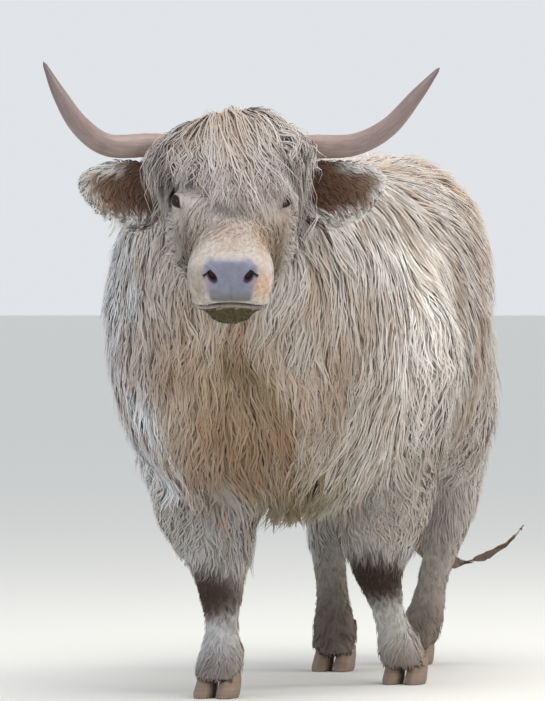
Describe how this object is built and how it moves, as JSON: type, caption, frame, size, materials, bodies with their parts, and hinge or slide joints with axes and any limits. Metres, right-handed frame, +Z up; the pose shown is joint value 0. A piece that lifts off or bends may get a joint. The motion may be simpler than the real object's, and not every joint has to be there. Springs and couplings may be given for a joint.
{
  "type": "highland cow",
  "caption": "Life-size still highland cow, walking with head raised and turned, long cream coat, forelock over the brow, upswept horns, cloven feet and a swung tail",
  "frame": {"origin": "on the floor, under the middle of the cow's whole box", "axes": "+Z up, the cow faces -Y, her left side is +X; her length runs along Y"},
  "size_m": [0.8148, 2.0046, 1.3065],
  "materials": {
    "coat": "long wavy cream-white hair with tan shading",
    "horn": "grey-brown keratin with faint rings, satin",
    "hoof": "pale to dark keratin, worn matt",
    "eye": "wet dark brown eye",
    "hide": "bare pinkish skin"
  },
  "bodies": {
    "root": {"trunk": "coat", "neck": "coat", "head": "coat", "forelock": "coat", "ear_left": "coat", "ear_right": "coat", "eye_left": "eye", "eye_right": "eye", "horn_left": "horn", "horn_right": "horn", "upper_leg_left_fore": "coat", "upper_leg_right_fore": "coat", "upper_leg_left_hind": "coat", "upper_leg_right_hind": "coat", "lower_leg_left_fore": "coat", "lower_leg_right_fore": "coat", "lower_leg_left_hind": "coat", "lower_leg_right_hind": "coat", "claw_left_fore_left": "hoof", "claw_left_fore_right": "hoof", "claw_right_fore_left": "hoof", "claw_right_fore_right": "hoof", "claw_left_hind_left": "hoof", "claw_left_hind_right": "hoof", "claw_right_hind_left": "hoof", "claw_right_hind_right": "hoof", "dewclaw_left_fore_left": "hoof", "dewclaw_left_fore_right": "hoof", "dewclaw_right_fore_left": "hoof", "dewclaw_right_fore_right": "hoof", "dewclaw_left_hind_left": "hoof", "dewclaw_left_hind_right": "hoof", "dewclaw_right_hind_left": "hoof", "dewclaw_right_hind_right": "hoof", "tail_dock": "coat", "tail_switch": "coat", "udder": "hide"}
  },
  "joints": []
}
